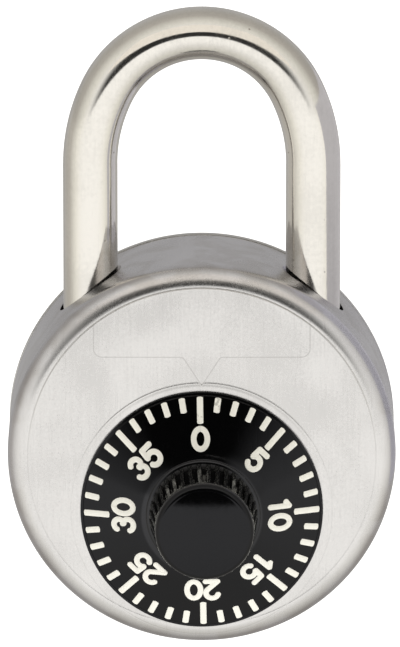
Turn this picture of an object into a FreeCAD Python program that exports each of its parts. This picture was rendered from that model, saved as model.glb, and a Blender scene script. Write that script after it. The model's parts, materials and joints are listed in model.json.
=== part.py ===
"""Combination padlock: a round stainless case, a dial with a fluted knob, and a bent bar shackle.

The row frame has +Z up and the dial facing -Y. The origin is the inner top of the shackle's bow,
where the lock hangs on a hasp, in the plane of the shackle. Sizes are in millimetres.
"""
import FreeCAD, Part
import math
import os
import Sketcher
from FreeCAD import Placement, Rotation, Vector

os.makedirs("parts", exist_ok=True)
doc = FreeCAD.newDocument("CombinationPadlock")

SIZES = {
    # case, measured from the plane of the shackle (y = 0) and from the case's own axis
    "case_radius": 27.0, "case_wall": 1.4, "case_edge": 1.9,
    "face_ahead": 11.4, "back_behind": 10.6, "case_drop": 54.1,
    "recess_radius": 18.2, "recess_depth": 0.25, "case_hole": 4.25,
    "cover_radius": 27.1, "cover_sheet": 1.4, "cover_lip": 1.7, "cover_edge": 0.8,
    "inner_wall": 1.2, "plate_sheet": 1.6,
    # shackle
    "bar_radius": 3.8, "leg_offset": 15.5, "crown_bend": 14.6, "side_bend": 23.7,
    "heel_end": -12.6, "toe_end": 11.5, "toe_notch_top": 16.6, "toe_notch_low": 14.6,
    "toe_notch_depth": 1.5, "toe_ramp_depth": 0.9, "leg_chamfer": 0.8,
    "groove_low": -10.6, "groove_width": 0.8, "groove_radius": 3.1, "ring_radius": 5.1,
    # dial, its drop is below the case's axis
    "dial_drop": 7.4, "dial_radius": 16.86, "dial_sunk": 0.05, "dial_rim": 0.4, "dial_bevel": 0.36,
    "skirt_rise": 3.35, "knob_foot": 8.0, "knob_foot_rise": 0.5, "knob_low": 7.45, "knob_high": 6.75,
    "knob_face": 6.3, "knob_band": 1.1, "knob_height": 12.84, "knob_dome": 0.25,
    "flute_count": 36, "flute_depth": 0.32, "flute_half": 0.3, "flute_over": 0.1,
    # spindle, bushing and washer
    "spindle_radius": 3.0, "spindle_collar": 4.2, "spindle_neck": 2.2, "spindle_head": 3.2,
    "spindle_reach": 8.6, "collar_length": 3.0, "collar_back": 1.0, "bushing_radius": 4.5, "bushing_flange": 6.6, "flange_sheet": 0.8,
    "washer_sheet": 0.3, "washer_outer": 5.4, "washer_gap": 0.3,
    # wheels
    "wheel_radius": 9.8, "wheel_sheet": 1.2, "gate_half": 1.8, "gate_depth": 3.4,
    "lug_radius": 0.9, "lug_ring": 6.0, "lug_length": 1.2, "lug_turn": 18.5,
    "cam_front": -7.6, "middle_front": -4.6, "rear_front": -1.4,
    "post_radius": 2.5, "post_tail": 2.0, "post_front": -5.5, "clip_sheet": 0.5, "clip_radius": 3.8,
    "sleeve_radius": 4.2, "sleeve_front": 1.0, "spring_washer_radius": 4.7,
    "running_gap": 0.05, "side_gap": 0.1,
    # locking lever, its pivot is measured from the case's axis
    "pivot_across": -8.0, "pivot_up": 6.0, "lever_sheet": 2.4, "lever_hub": 3.0,
    "lever_post": 1.5, "lever_tail": 1.2, "lever_clip": 2.8, "lever_shoulder": 2.6,
    "nose_reach": 4.9, "arm_left": 3.3, "nose_low": 8.8, "nose_high": 10.2, "arm_width": 3.0,
    "fence_reach": 9.2, "fence_width": 2.4, "fence_low": 1.1, "fence_high": 1.6, "fence_front": -7.8,
    "spring_wire": 0.35, "spring_ring": 2.3, "spring_pitch": 0.85, "spring_turns": 3.0,
    "stop_radius": 1.0, "stop_across": -4.6, "stop_up": 10.6,
    # guides
    "guide_front": -5.6, "guide_bore": 3.88, "heel_low": 4.0, "heel_high": 15.0, "heel_inner": 7.5,
    "toe_low": 8.0, "toe_high": 16.5, "toe_mouth": -12.6, "rivet_radius": 1.0,
}

sheet = doc.addObject("Spreadsheet::Sheet", "size")
for row, (alias, number) in enumerate(SIZES.items(), start=1):
    sheet.set(f"A{row}", alias)
    sheet.set(f"B{row}", str(number))
    sheet.setAlias(f"B{row}", alias)
doc.recompute()


# ---- ways of building -------------------------------------------------------------------------

def full(expression):
    """The expression with the sheet's name in front of each alias."""
    words = []
    for word in expression.split():
        bare = word.strip("()")
        words.append(word.replace(bare, f"size.{bare}") if bare in SIZES else word)
    return " ".join(words)


def number(expression):
    """The value of an expression of the sheet's aliases."""
    return float(sheet.evalExpression(full(expression).replace("size.", "")))


def hold(sketch, kind, geometry, point, expression):
    """Hold one coordinate of a sketch point at the value of an expression."""
    distance = number(expression)
    if abs(distance) < 1e-9:
        axis = -2 if kind == "DistanceX" else -1
        sketch.addConstraint(Sketcher.Constraint("PointOnObject", geometry, point, axis))
        return
    place = sketch.addConstraint(Sketcher.Constraint(kind, -1, 1, geometry, point, distance))
    sketch.setExpression(f"Constraints[{place}]", full(expression))


def draw_outline(sketch, points):
    """Closed outline of straight lines through points given as pairs of expressions."""
    corners = [Vector(number(across), number(up), 0) for across, up in points]
    first = sketch.GeometryCount
    for place, corner in enumerate(corners):
        sketch.addGeometry(Part.LineSegment(corner, corners[(place + 1) % len(corners)]), False)
    for place, (across, up) in enumerate(points):
        following = first + (place + 1) % len(points)
        sketch.addConstraint(Sketcher.Constraint("Coincident", first + place, 2, following, 1))
        hold(sketch, "DistanceX", first + place, 1, across)
        hold(sketch, "DistanceY", first + place, 1, up)


def draw_circle(sketch, across, up, radius):
    """Circle whose centre and radius are expressions."""
    centre = Vector(number(across), number(up), 0)
    shape = Part.Circle(centre, Vector(0, 0, 1), number(radius))
    geometry = sketch.addGeometry(shape, False)
    place = sketch.addConstraint(Sketcher.Constraint("Radius", geometry, number(radius)))
    sketch.setExpression(f"Constraints[{place}]", full(radius))
    hold(sketch, "DistanceX", geometry, 3, across)
    hold(sketch, "DistanceY", geometry, 3, up)


def new_body(label):
    body = doc.addObject("PartDesign::Body", label)
    body.Label = label
    return body


def new_sketch(body, role, ahead="0"):
    """Sketch on one of the body's own planes, moved along the plane's normal."""
    plane = next(item for item in body.Origin.OriginFeatures if item.Role == role)
    sketch = body.newObject("Sketcher::SketchObject", f"{body.Name}_sketch")
    sketch.AttachmentSupport = [(plane, "")]
    sketch.MapMode = "FlatFace"
    sketch.setExpression("AttachmentOffset.Base.z", full(ahead))
    return sketch


def turn(body, points):
    """Revolve an outline of (radius, y) points about the body's own Y axis."""
    sketch = new_sketch(body, "XY_Plane")
    draw_outline(sketch, points)
    solid = body.newObject("PartDesign::Revolution", f"{body.Name}_turned")
    solid.Profile = sketch
    solid.ReferenceAxis = (sketch, ["V_Axis"])
    solid.Angle = 360
    doc.recompute()
    return solid


def pad(body, draw, front, depth):
    """Pad a drawing of the XZ plane from y = front towards +Y."""
    sketch = new_sketch(body, "XZ_Plane", f"0 - ( {front} )")
    draw(sketch)
    solid = body.newObject("PartDesign::Pad", f"{body.Name}_pad")
    solid.Profile = sketch
    solid.Reversed = True
    solid.setExpression("Length", full(depth))
    doc.recompute()
    return solid


def cut(body, role, draw, ahead="0", depth=None, reverse=False):
    """Pocket a drawing into the body, through everything unless a depth is given."""
    before = body.Shape.Volume
    sketch = new_sketch(body, role, ahead)
    draw(sketch)
    hole = body.newObject("PartDesign::Pocket", f"{body.Name}_cut")
    hole.Profile = sketch
    hole.Reversed = reverse
    if depth is None:
        hole.Type = 1
    else:
        hole.setExpression("Length", full(depth))
    doc.recompute()
    if body.Shape.Volume > before - 0.01:
        raise RuntimeError(f"{hole.Name} cuts nothing")
    return hole


def round_edges(body, wanted, radius):
    """Fillet the edges of the body's solid that the test picks."""
    picked = [f"Edge{place}" for place, edge in enumerate(body.Shape.Edges, start=1) if wanted(edge)]
    rounded = body.Tip
    fillet = body.newObject("PartDesign::Fillet", f"{body.Name}_rounded")
    fillet.Base = (rounded, picked)
    fillet.setExpression("Radius", full(radius))
    doc.recompute()


def rim_at(y, radius):
    """Test for a full circular edge about the Y axis at this height and radius."""
    def wanted(edge):
        box = edge.BoundBox
        return box.YLength < 1e-4 and abs(box.YMin - y) < 1e-3 and abs(box.XMax - radius) < 1e-3
    return wanted


def place(item, across="0", up="0 - case_drop"):
    """Put an item at a point of the shackle's plane."""
    item.setExpression("Placement.Base.x", full(across))
    item.setExpression("Placement.Base.z", full(up))


DIAL_UP = "0 - case_drop - dial_drop"
PIVOT_UP = "pivot_up - case_drop"
FACE = "0 - face_ahead"
RECESS = "recess_depth - face_ahead"
INNER_FACE = "case_wall - face_ahead"
LINER_BACK = "case_wall - face_ahead + inner_wall"
COVER_FRONT = "back_behind - cover_sheet"
PLATE_FRONT = "back_behind - cover_sheet - plate_sheet"
BAND_END = "back_behind - cover_lip"
INSIDE = "case_radius - case_wall"
LINER_INSIDE = "case_radius - case_wall - inner_wall"


# ---- case ---------------------------------------------------------------------------------------

# Outer case: a deep-drawn cup with a coined recess for the dial and two holes for the legs.
front_case = new_body("front_case")
turn(front_case, [
    ("0", FACE), ("case_radius", FACE), ("case_radius", BAND_END),
    (INSIDE, BAND_END), (INSIDE, INNER_FACE), ("0", INNER_FACE)])
round_edges(front_case, rim_at(-SIZES["face_ahead"], SIZES["case_radius"]), "case_edge")
cut(front_case, "XZ_Plane", lambda sketch: draw_circle(sketch, "0", "0 - dial_drop", "recess_radius"),
    "face_ahead", "recess_depth")
cut(front_case, "XZ_Plane", lambda sketch: draw_circle(sketch, "0", "0 - dial_drop", "bushing_radius"),
    "face_ahead")


def leg_circles(radius):
    def draw(sketch):
        draw_circle(sketch, "leg_offset", "0", radius)
        draw_circle(sketch, "0 - leg_offset", "0", radius)
    return draw


cut(front_case, "XY_Plane", leg_circles("case_hole"), reverse=True)
place(front_case)

# Inner case: a steel cup that lines the face and the side band.
inner_case = new_body("inner_case")
turn(inner_case, [
    ("0", INNER_FACE), (INSIDE, INNER_FACE), (INSIDE, PLATE_FRONT),
    (LINER_INSIDE, PLATE_FRONT), (LINER_INSIDE, LINER_BACK), ("0", LINER_BACK)])
cut(inner_case, "XZ_Plane", lambda sketch: draw_circle(sketch, "0", "0 - dial_drop", "bushing_radius"),
    "face_ahead")
cut(inner_case, "XY_Plane", leg_circles("case_hole"), reverse=True)
place(inner_case)

# Back cover: a disc with a rolled lip that closes the open end of the case.
back_cover = new_body("back_cover")
turn(back_cover, [
    ("0", COVER_FRONT), (INSIDE, COVER_FRONT), (INSIDE, BAND_END), ("cover_radius", BAND_END),
    ("cover_radius", "back_behind"), ("0", "back_behind")])
round_edges(back_cover, rim_at(SIZES["back_behind"], SIZES["cover_radius"]), "cover_edge")
place(back_cover)

# Mechanism plate: carries the posts and is clamped between the liner and the cover.
RIVETS = {
    "heel_rivet_outer": (21.6, 6.0),
    "heel_rivet_inner": (9.4, 9.5),
    "toe_rivet": (-21.2, 9.2),
}
mechanism_plate = new_body("mechanism_plate")


def draw_plate(sketch):
    draw_circle(sketch, "0", "0", INSIDE)
    draw_circle(sketch, "0", "0 - dial_drop", "post_tail")
    draw_circle(sketch, "pivot_across", "pivot_up", "lever_tail")
    draw_circle(sketch, "stop_across", "stop_up", "stop_radius")
    for across, up in RIVETS.values():
        draw_circle(sketch, str(across), str(up), "rivet_radius")


pad(mechanism_plate, draw_plate, PLATE_FRONT, "plate_sheet")
place(mechanism_plate)

# Guides: blocks against the liner that carry the legs, cut from boxes by the liner's inside.
GUIDES = {
    "heel_guide": ("heel_inner", "heel_low", "case_radius - heel_inner", "heel_high - heel_low",
                   "leg_offset", ["heel_rivet_outer", "heel_rivet_inner"]),
    "toe_guide": ("0 - case_radius", "toe_low", "case_radius + toe_mouth", "toe_high - toe_low",
                  "0 - leg_offset", ["toe_rivet"]),
}
ALONG_Y = Rotation(Vector(1, 0, 0), -90)


def add_round(name, radius, length, front, across, up):
    """Cylinder along +Y that starts at y = front."""
    item = doc.addObject("Part::Cylinder", name)
    item.Placement = Placement(Vector(0, 0, 0), ALONG_Y)
    item.setExpression("Radius", full(radius))
    item.setExpression("Height", full(length))
    item.setExpression("Placement.Base.y", full(front))
    place(item, across, up)
    return item


def add_upright(name, radius, length, low, across):
    """Cylinder along +Z that starts at z = low."""
    item = doc.addObject("Part::Cylinder", name)
    item.setExpression("Radius", full(radius))
    item.setExpression("Height", full(length))
    place(item, across, low)
    return item


def combine(kind, name, base, tool):
    item = doc.addObject(f"Part::{kind}", name)
    item.Base = base
    item.Tool = tool
    return item


for label, (across, low, width, height, leg, rivets) in GUIDES.items():
    block = doc.addObject("Part::Box", f"{label}_block")
    block.setExpression("Length", full(width))
    block.setExpression("Width", full(f"{PLATE_FRONT} - guide_front"))
    block.setExpression("Height", full(height))
    block.setExpression("Placement.Base.y", full("guide_front"))
    place(block, across, f"{low} - case_drop")
    liner = add_round(f"{label}_liner", LINER_INSIDE, "case_radius", "0 - face_ahead", "0", "0 - case_drop")
    shaped = combine("Common", f"{label}_shaped", block, liner)
    bore = add_upright(f"{label}_bore", "guide_bore", "case_radius * 2", "0 - case_drop - case_radius", leg)
    guide = combine("Cut", f"{label}_bored", shaped, bore)
    for rivet in rivets:
        rivet_across, rivet_up = RIVETS[rivet]
        hole = add_round(f"{rivet}_hole", "rivet_radius", "case_radius * 2", "0 - case_radius",
                         str(rivet_across), f"{rivet_up} - case_drop")
        guide = combine("Cut", f"{rivet}_drilled", guide, hole)
    guide.Label = label

for label, (across, up) in RIVETS.items():
    rivet = add_round(label, "rivet_radius", f"{COVER_FRONT} - guide_front", "guide_front",
                      str(across), f"{up} - case_drop")
    rivet.Label = label


# ---- dial and its spindle -----------------------------------------------------------------------

# Bushing: a flanged bearing through the face and the liner.
dial_bushing = new_body("dial_bushing")
turn(dial_bushing, [
    ("spindle_radius + running_gap", RECESS), ("bushing_radius", RECESS), ("bushing_radius", LINER_BACK),
    ("bushing_flange", LINER_BACK), ("bushing_flange", f"{LINER_BACK} + flange_sheet"),
    ("spindle_radius + running_gap", f"{LINER_BACK} + flange_sheet")])
place(dial_bushing, up=DIAL_UP)

# Wave washer between the bushing's flange and the drive cam, at its pressed height.
dial_wave_washer = new_body("dial_wave_washer")
turn(dial_wave_washer, [
    ("spindle_radius + washer_gap", f"{LINER_BACK} + flange_sheet"),
    ("washer_outer", f"{LINER_BACK} + flange_sheet"),
    ("washer_outer", f"{LINER_BACK} + flange_sheet + washer_sheet"),
    ("spindle_radius + washer_gap", f"{LINER_BACK} + flange_sheet + washer_sheet")])
place(dial_wave_washer, up=DIAL_UP)

# Dial: one moulding with a sloping skirt and a tapered knob, hollow for the moulded-in spindle.
DIAL_BACK = "0 - face_ahead + dial_sunk"
RIM_FRONT = "0 - face_ahead + dial_sunk - dial_rim"
SKIRT_LOW = "0 - face_ahead + dial_sunk - dial_rim - dial_bevel"
SKIRT_HIGH = "0 - face_ahead + dial_sunk - dial_rim - dial_bevel - skirt_rise"
KNOB_LOW = "0 - face_ahead + dial_sunk - dial_rim - dial_bevel - skirt_rise - knob_foot_rise"
KNOB_FRONT = "0 - face_ahead - knob_height"
SPINDLE_FRONT = "0 - face_ahead - spindle_reach"
COLLAR_FRONT = f"{SPINDLE_FRONT} + collar_back"
COLLAR_BACK = f"{SPINDLE_FRONT} + collar_back + collar_length"
dial = new_body("dial")
turn(dial, [
    ("spindle_radius", DIAL_BACK), ("dial_radius", DIAL_BACK), ("dial_radius", RIM_FRONT),
    ("dial_radius - dial_bevel", SKIRT_LOW), ("knob_foot", SKIRT_HIGH), ("knob_foot", KNOB_LOW),
    ("knob_low", KNOB_LOW), ("knob_high", f"{KNOB_FRONT} + knob_band"),
    ("knob_face", KNOB_FRONT), ("0", f"{KNOB_FRONT} - knob_dome"), ("0", SPINDLE_FRONT),
    ("spindle_radius", SPINDLE_FRONT), ("spindle_radius", COLLAR_FRONT),
    ("spindle_collar", COLLAR_FRONT), ("spindle_collar", COLLAR_BACK), ("spindle_radius", COLLAR_BACK)])


def flute_notch(radius):
    """V-shaped notch that opens outwards at this radius, straight above the axis."""
    return [("0", f"{radius} - flute_depth"), ("flute_half", f"{radius} + flute_over"),
            ("0 - flute_half", f"{radius} + flute_over")]


smooth = dial.Shape.Volume
flute_high = new_sketch(dial, "XZ_Plane", f"0 - ( {KNOB_FRONT} + knob_band )")
draw_outline(flute_high, flute_notch("knob_high"))
flute_low = new_sketch(dial, "XZ_Plane", f"0 - ( {KNOB_LOW} )")
draw_outline(flute_low, flute_notch("knob_low"))
flute = dial.newObject("PartDesign::SubtractiveLoft", "knob_flute")
flute.Profile = flute_high
flute.Sections = [flute_low]
doc.recompute()
flutes = dial.newObject("PartDesign::PolarPattern", "knob_flutes")
flutes.Originals = [flute]
flutes.Axis = (next(item for item in dial.Origin.OriginFeatures if item.Role == "Y_Axis"), [""])
flutes.Angle = 360
flutes.setExpression("Occurrences", "size.flute_count")
dial.Tip = flutes
doc.recompute()
if dial.Shape.Volume > smooth - SIZES["flute_count"] * 0.1:
    raise RuntimeError("the knob has no flutes")
place(dial, up=DIAL_UP)

# Spindle: a steel pin with a collar inside the knob, riveted over behind the drive cam.
CAM_BACK = "cam_front + wheel_sheet"
dial_spindle = new_body("dial_spindle")
turn(dial_spindle, [
    ("0", SPINDLE_FRONT), ("spindle_radius", SPINDLE_FRONT), ("spindle_radius", COLLAR_FRONT),
    ("spindle_collar", COLLAR_FRONT), ("spindle_collar", COLLAR_BACK), ("spindle_radius", COLLAR_BACK),
    ("spindle_radius", "cam_front"), ("spindle_neck", "cam_front"), ("spindle_neck", CAM_BACK),
    ("spindle_head", CAM_BACK), ("spindle_head", f"{CAM_BACK} + clip_sheet"),
    ("0", f"{CAM_BACK} + clip_sheet")])
place(dial_spindle, up=DIAL_UP)


# ---- wheels -------------------------------------------------------------------------------------

def build_wheel(label, front, bore, lugs):
    """Notched wheel with its gate at the top; each lug is (turn in degrees, first y)."""
    wheel = new_body(label)

    def draw(sketch):
        draw_circle(sketch, "0", "0", "wheel_radius")
        draw_circle(sketch, "0", "0", bore)

    def gate(sketch):
        draw_outline(sketch, [
            ("0 - gate_half", "wheel_radius - gate_depth"), ("gate_half", "wheel_radius - gate_depth"),
            ("gate_half", "wheel_radius + 1"), ("0 - gate_half", "wheel_radius + 1")])

    pad(wheel, draw, front, "wheel_sheet")
    cut(wheel, "XZ_Plane", gate, f"0 - ( {front} )")
    for turn_by, first in lugs:
        angle = math.radians(turn_by)
        across = f"lug_ring * {math.sin(angle):.6f}"
        up = f"lug_ring * {math.cos(angle):.6f}"
        pad(wheel, lambda sketch: draw_circle(sketch, across, up, "lug_radius"), first, "lug_length")
    place(wheel, up=DIAL_UP)


FACING_LUG = SIZES["lug_turn"] + 180
build_wheel("drive_cam", "cam_front", "spindle_neck", [(180, CAM_BACK)])
build_wheel("middle_wheel", "middle_front", "post_radius + running_gap",
            [(FACING_LUG, "middle_front - lug_length"), (90, "middle_front + wheel_sheet")])
build_wheel("rear_wheel", "rear_front", "post_radius + running_gap",
            [(90 + SIZES["lug_turn"], "rear_front - lug_length")])

# Center post: riveted in the plate, with a groove for the clip in front of the wheels.
CLIP_BACK = "middle_front - side_gap * 2"
CLIP_FRONT = "middle_front - side_gap * 2 - clip_sheet"
center_post = new_body("center_post")
turn(center_post, [
    ("0", "post_front"), ("post_radius", "post_front"), ("post_radius", CLIP_FRONT),
    ("post_tail", CLIP_FRONT), ("post_tail", CLIP_BACK), ("post_radius", CLIP_BACK),
    ("post_radius", PLATE_FRONT), ("post_tail", PLATE_FRONT), ("post_tail", COVER_FRONT),
    ("0", COVER_FRONT)])
place(center_post, up=DIAL_UP)

# Rings on the center post, as (inner radius, outer radius, front y, back y).
REAR_BACK = "rear_front + wheel_sheet"
POST_RINGS = {
    "post_clip": ("post_tail", "clip_radius", CLIP_FRONT, CLIP_BACK),
    "wheel_spacer": ("post_radius", "sleeve_radius", "middle_front + wheel_sheet + side_gap",
                     "rear_front - side_gap"),
    "wheel_spring": ("post_radius", "spring_washer_radius", f"{REAR_BACK} + side_gap", "sleeve_front"),
    "post_sleeve": ("post_radius", "sleeve_radius", "sleeve_front", PLATE_FRONT),
}
for label, (inner, outer, front, back) in POST_RINGS.items():
    ring = new_body(label)
    turn(ring, [(inner, front), (outer, front), (outer, back), (inner, back)])
    place(ring, up=DIAL_UP)


# ---- locking lever ------------------------------------------------------------------------------

# Lever: a plate with a nose for the toe leg and an arm whose bent fence reaches over the wheels.
LEVER_FRONT = "0 - lever_sheet / 2"
locking_lever = new_body("locking_lever")


def draw_arm(sketch):
    draw_outline(sketch, [
        ("0 - arm_left", "0"), ("0 - arm_left", "nose_low"), ("0 - nose_reach", "nose_low"),
        ("0 - nose_reach", "nose_high"), ("arm_width - arm_left", "nose_high"),
        ("arm_width - arm_left", "fence_high * 2"), ("fence_reach", "fence_high"),
        ("fence_reach", "0 - fence_low"), ("lever_post", "0 - fence_low"), ("0", "0 - fence_low")])


def draw_fence(sketch):
    draw_outline(sketch, [
        ("fence_reach - fence_width", "0 - fence_low"), ("fence_reach", "0 - fence_low"),
        ("fence_reach", "fence_high"), ("fence_reach - fence_width", "fence_high")])


pad(locking_lever, draw_arm, LEVER_FRONT, "lever_sheet")
pad(locking_lever, lambda sketch: draw_circle(sketch, "0", "0", "lever_hub"), LEVER_FRONT, "lever_sheet")
pad(locking_lever, draw_fence, "fence_front", "0 - fence_front")
cut(locking_lever, "XZ_Plane",
    lambda sketch: draw_circle(sketch, "0", "0", "lever_post + running_gap"), "face_ahead")
place(locking_lever, "pivot_across", PIVOT_UP)

# Lever post: a shouldered pin with a groove for the clip in front of the lever.
SHOULDER = "lever_sheet / 2 + spring_pitch * spring_turns + spring_wire * 2 + side_gap * 3"
LEVER_CLIP_BACK = "0 - lever_sheet / 2 - side_gap"
LEVER_CLIP_FRONT = "0 - lever_sheet / 2 - side_gap - clip_sheet"
lever_post = new_body("lever_post")
turn(lever_post, [
    ("0", f"{LEVER_CLIP_FRONT} - clip_sheet"), ("lever_post", f"{LEVER_CLIP_FRONT} - clip_sheet"),
    ("lever_post", LEVER_CLIP_FRONT), ("lever_tail", LEVER_CLIP_FRONT), ("lever_tail", LEVER_CLIP_BACK),
    ("lever_post", LEVER_CLIP_BACK), ("lever_post", SHOULDER), ("lever_shoulder", SHOULDER),
    ("lever_shoulder", PLATE_FRONT), ("lever_tail", PLATE_FRONT), ("lever_tail", COVER_FRONT),
    ("0", COVER_FRONT)])
place(lever_post, "pivot_across", PIVOT_UP)

lever_clip = new_body("lever_clip")
turn(lever_clip, [
    ("lever_tail", LEVER_CLIP_FRONT), ("lever_clip", LEVER_CLIP_FRONT),
    ("lever_clip", LEVER_CLIP_BACK), ("lever_tail", LEVER_CLIP_BACK)])
place(lever_clip, "pivot_across", PIVOT_UP)

spring_stop = add_round("spring_stop", "stop_radius", f"{COVER_FRONT} - lever_sheet", "lever_sheet",
                        "stop_across", "stop_up - case_drop")
spring_stop.Label = "spring_stop"

# Lever spring: a close torsion coil about the post, one end on the stop, the other behind the lever.
coil_start = SIZES["lever_sheet"] / 2 + SIZES["side_gap"] + SIZES["spring_wire"]
coil_height = SIZES["spring_pitch"] * SIZES["spring_turns"]
coil = Part.makeHelix(SIZES["spring_pitch"], coil_height, SIZES["spring_ring"])
section = Part.Wire(Part.makeCircle(SIZES["spring_wire"], Vector(SIZES["spring_ring"], 0, 0), Vector(0, 1, 0)))
spring_shape = Part.Wire(coil).makePipeShell([section], True, True)
leg_length = SIZES["stop_up"] - SIZES["pivot_up"]
for height in (0, coil_height):
    start = Vector(SIZES["spring_ring"], 0, height)
    leg = Part.makeCylinder(SIZES["spring_wire"], leg_length, start, Vector(0, 1 if height else -1, 0))
    spring_shape = spring_shape.fuse(leg)
lever_spring = doc.addObject("Part::Feature", "lever_spring")
lever_spring.Label = "lever_spring"
lever_spring.Shape = spring_shape
lever_spring.Placement = Placement(
    Vector(SIZES["pivot_across"], coil_start, SIZES["pivot_up"] - SIZES["case_drop"]), ALONG_Y)


# ---- shackle ------------------------------------------------------------------------------------

# Shackle: a round bar bent to a three-centre bow, with a long heel leg and a short toe leg.
TURN_EXPRESSION = ("acos((size.side_bend - size.leg_offset) / (size.side_bend - size.crown_bend))")
side_turn = math.acos((SIZES["side_bend"] - SIZES["leg_offset"]) / (SIZES["side_bend"] - SIZES["crown_bend"]))
side_rise = f"( side_bend - crown_bend ) * {math.sin(side_turn):.6f}"
CROWN_UP = "bar_radius - crown_bend"
LEG_TOP = f"bar_radius - crown_bend - {side_rise}"
SIDE_ACROSS = "leg_offset - side_bend"


def add_bend(name, bend, across, up, first_turn, sweep):
    """Part of a torus in the shackle's plane, from first_turn through sweep."""
    item = doc.addObject("Part::Torus", name)
    item.setExpression("Radius1", full(bend))
    item.setExpression("Radius2", "size.bar_radius")
    item.setExpression("Angle3", sweep)
    upright = Rotation(Vector(1, 0, 0), 90)
    item.Placement = Placement(Vector(0, 0, 0), upright * Rotation(Vector(0, 0, 1), first_turn))
    place(item, across, up)
    return item


side_degrees = math.degrees(side_turn)
bow = [
    add_upright("heel_leg", "bar_radius", f"{LEG_TOP} - heel_end + case_drop", "heel_end - case_drop",
                "leg_offset"),
    add_bend("heel_bend", "side_bend", SIDE_ACROSS, LEG_TOP, 0, TURN_EXPRESSION),
    add_bend("crown", "crown_bend", "0", CROWN_UP, side_degrees, f"180 - 2 * {TURN_EXPRESSION} / 1deg"),
    add_bend("toe_bend", "side_bend", "side_bend - leg_offset", LEG_TOP, 180 - side_degrees, TURN_EXPRESSION),
    add_upright("toe_leg", "bar_radius", f"{LEG_TOP} - toe_end + case_drop", "toe_end - case_drop",
                "0 - leg_offset"),
]
bar = doc.addObject("Part::MultiFuse", "bar")
bar.Shapes = bow
doc.recompute()


def end_edges(shape, height):
    """Circular edges of the shape at this height, as (edge number, size, size)."""
    picked = []
    for place_in_shape, edge in enumerate(shape.Edges, start=1):
        box = edge.BoundBox
        if box.ZLength < 1e-4 and abs(box.ZMin - height) < 1e-3:
            picked.append((place_in_shape, SIZES["leg_chamfer"], SIZES["leg_chamfer"]))
    return picked


eased = doc.addObject("Part::Chamfer", "eased_bar")
eased.Base = bar
ends = [SIZES["heel_end"] - SIZES["case_drop"], SIZES["toe_end"] - SIZES["case_drop"]]
eased.Edges = [edge for height in ends for edge in end_edges(bar.Shape, height)]

# Toe notch: a square shoulder at the top and a long ramp down to the tip.
notch = new_body("toe_notch")
INNER_SIDE = "bar_radius - leg_offset"


def draw_notch(sketch):
    draw_outline(sketch, [
        (f"{INNER_SIDE} + 1", "toe_notch_top"), (f"{INNER_SIDE} - toe_notch_depth", "toe_notch_top"),
        (f"{INNER_SIDE} - toe_notch_depth", "toe_notch_low"), (f"{INNER_SIDE} - toe_ramp_depth", "toe_end"),
        (f"{INNER_SIDE} - toe_ramp_depth", "toe_end - 1"), (f"{INNER_SIDE} + 1", "toe_end - 1")])


pad(notch, draw_notch, "0 - bar_radius * 2", "bar_radius * 4")
place(notch)
notched = combine("Cut", "notched_bar", eased, notch)

# Heel groove: seats the retaining ring.
groove_low = "groove_low - case_drop"
groove_outside = add_upright("groove_outside", "bar_radius + 1", "groove_width", groove_low, "leg_offset")
groove_core = add_upright("groove_core", "groove_radius", "groove_width", groove_low, "leg_offset")
groove = combine("Cut", "heel_groove", groove_outside, groove_core)
shackle = combine("Cut", "grooved_bar", notched, groove)
shackle.Label = "shackle"

ring_outside = add_upright("ring_outside", "ring_radius", "groove_width", groove_low, "leg_offset")
ring_bore = add_upright("ring_bore", "groove_radius", "groove_width", groove_low, "leg_offset")
shackle_ring = combine("Cut", "ring_cut", ring_outside, ring_bore)
shackle_ring.Label = "shackle_ring"
doc.recompute()


# ---- checks and files ---------------------------------------------------------------------------

NODES = [
    "front_case", "inner_case", "back_cover", "mechanism_plate", "dial_bushing", "dial_wave_washer",
    "center_post", *POST_RINGS, "lever_post", "lever_clip", "lever_spring", "spring_stop",
    *GUIDES, *RIVETS, "dial", "dial_spindle", "drive_cam", "middle_wheel", "rear_wheel",
    "locking_lever", "shackle", "shackle_ring",
]
for item in doc.Objects:
    if {"Invalid", "Error"} & set(item.State):
        raise RuntimeError(f"{item.Name} failed: {item.State}")
for node in NODES:
    shape = doc.getObjectsByLabel(node)[0].Shape
    if shape.isNull() or not shape.isValid() or not shape.Solids:
        raise RuntimeError(f"{node} has no valid solid")
    shape.exportStep(f"parts/{node}.step")
    print(f"{node}: {len(shape.Solids)} solid, {shape.Volume / 1000:.3f} cm3")
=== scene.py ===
import json
import math

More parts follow.
